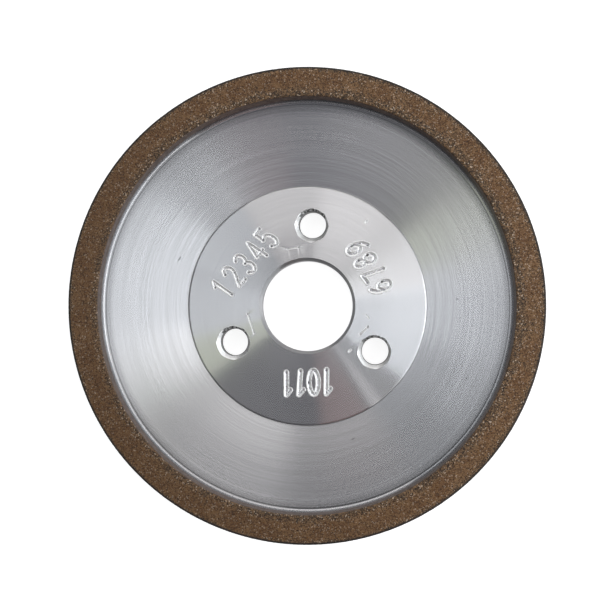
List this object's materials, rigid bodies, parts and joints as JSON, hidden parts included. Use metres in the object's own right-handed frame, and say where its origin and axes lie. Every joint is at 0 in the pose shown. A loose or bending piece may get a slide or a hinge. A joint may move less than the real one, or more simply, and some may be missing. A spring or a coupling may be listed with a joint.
{
  "type": "cup grinding wheel",
  "caption": "Dish-shaped cup grinding wheel: a turned aluminium body with a centre bore and a countersunk screw circle, carrying a flat ring of resin-bonded abrasive.",
  "frame": {"origin": "centre of the flat back face, on the bore axis, with the wheel lying on that face", "axes": "+Z along the bore axis, from the back face towards the abrasive ring; +Y through the first screw hole"},
  "size_m": [0.115, 0.115, 0.0145],
  "materials": {
    "body": "fine concentric turning marks, bright",
    "abrasive": "granular resin bond, matt brown with small sparkles and pits"
  },
  "bodies": {
    "root": {"aluminium_body": "body", "abrasive_ring": "abrasive"}
  },
  "joints": []
}
